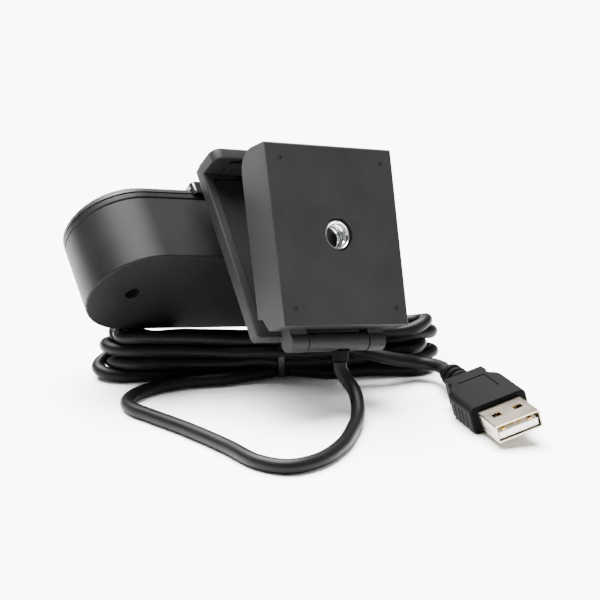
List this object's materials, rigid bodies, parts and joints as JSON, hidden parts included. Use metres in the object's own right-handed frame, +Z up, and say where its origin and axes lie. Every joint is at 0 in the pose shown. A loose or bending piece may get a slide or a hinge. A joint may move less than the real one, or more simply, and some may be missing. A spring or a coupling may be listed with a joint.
{
  "type": "webcam with tripod clip",
  "caption": "Webcam with a pill-shaped body on a folding screen clip with a camera-thread socket, lying on its tied cord with a USB plug.",
  "frame": {"origin": "a point on the flat underside of the tied cord the webcam lies on, on the table", "axes": "+Z up from the table; +X along the tied cord towards the plug; -Y towards the side the tripod socket faces. Stored in the resting pose."},
  "size_m": [0.1228, 0.1259, 0.0693],
  "materials": {
    "satin_plastic": "fine spark texture, satin",
    "dark_plastic": "semi-matt",
    "gloss_plastic": "gloss",
    "rubber": "matt",
    "cord_jacket": "satin PVC",
    "steel": "satin",
    "nickel": "plated",
    "white_plastic": "matt",
    "gold": "gold flash",
    "lens_glass": "clear",
    "board": "solder mask"
  },
  "bodies": {
    "clip_base": {"front_jaw": "satin_plastic", "front_jaw_pad": "rubber", "lip_pad": "rubber", "neck": "satin_plastic", "tilt_pin": "steel", "neck_screw_low": "steel", "neck_screw_high": "steel", "friction_washer_left": "steel", "friction_washer_right": "steel", "hinge_pin": "steel", "cable_gland": "rubber", "cord_front_loop": "cord_jacket", "cord_hank": "cord_jacket", "cable_tie": "rubber", "cord_tail": "cord_jacket", "plug_boot": "cord_jacket", "plug_overmold": "cord_jacket", "usb_shell": "nickel", "usb_tongue": "white_plastic", "usb_contact_1": "gold", "usb_contact_2": "gold", "usb_contact_3": "gold", "usb_contact_4": "gold"},
    "rear_jaw": {"rear_jaw": "satin_plastic", "tripod_insert": "steel", "rear_jaw_cover": "satin_plastic", "rear_jaw_pad": "rubber", "cover_screw_left": "steel", "cover_screw_right": "steel"},
    "camera_head": {"rear_shell": "dark_plastic", "front_bezel": "dark_plastic", "front_panel": "dark_plastic", "lens_surround": "gloss_plastic", "lens_barrel": "dark_plastic", "lens_glass": "lens_glass", "lens_holder": "dark_plastic", "ir_filter": "lens_glass", "image_sensor": "board", "main_board": "board", "microphone_left": "steel", "microphone_right": "steel", "case_screw_left": "steel", "case_screw_right": "steel", "status_light": "white_plastic"},
    "shutter": {"privacy_shutter": "gloss_plastic"}
  },
  "joints": [
    {"name": "clip_hinge", "type": "hinge", "parent": "clip_base", "child": "rear_jaw", "pos_m": [0.01685, -0.0269, 0.0184], "axis": [0.8178, 0.5558, -0.1495], "range_deg": [-13, 75]},
    {"name": "head_tilt", "type": "hinge", "parent": "clip_base", "child": "camera_head", "pos_m": [-0.00582, 0.01152, 0.03719], "axis": [0.8178, 0.5558, -0.1495], "range_deg": [0, 20]},
    {"name": "shutter_slide", "type": "slide", "parent": "camera_head", "child": "shutter", "axis": [0.8178, 0.5558, -0.1495], "range_m": [-0.0106, 0]}
  ]
}
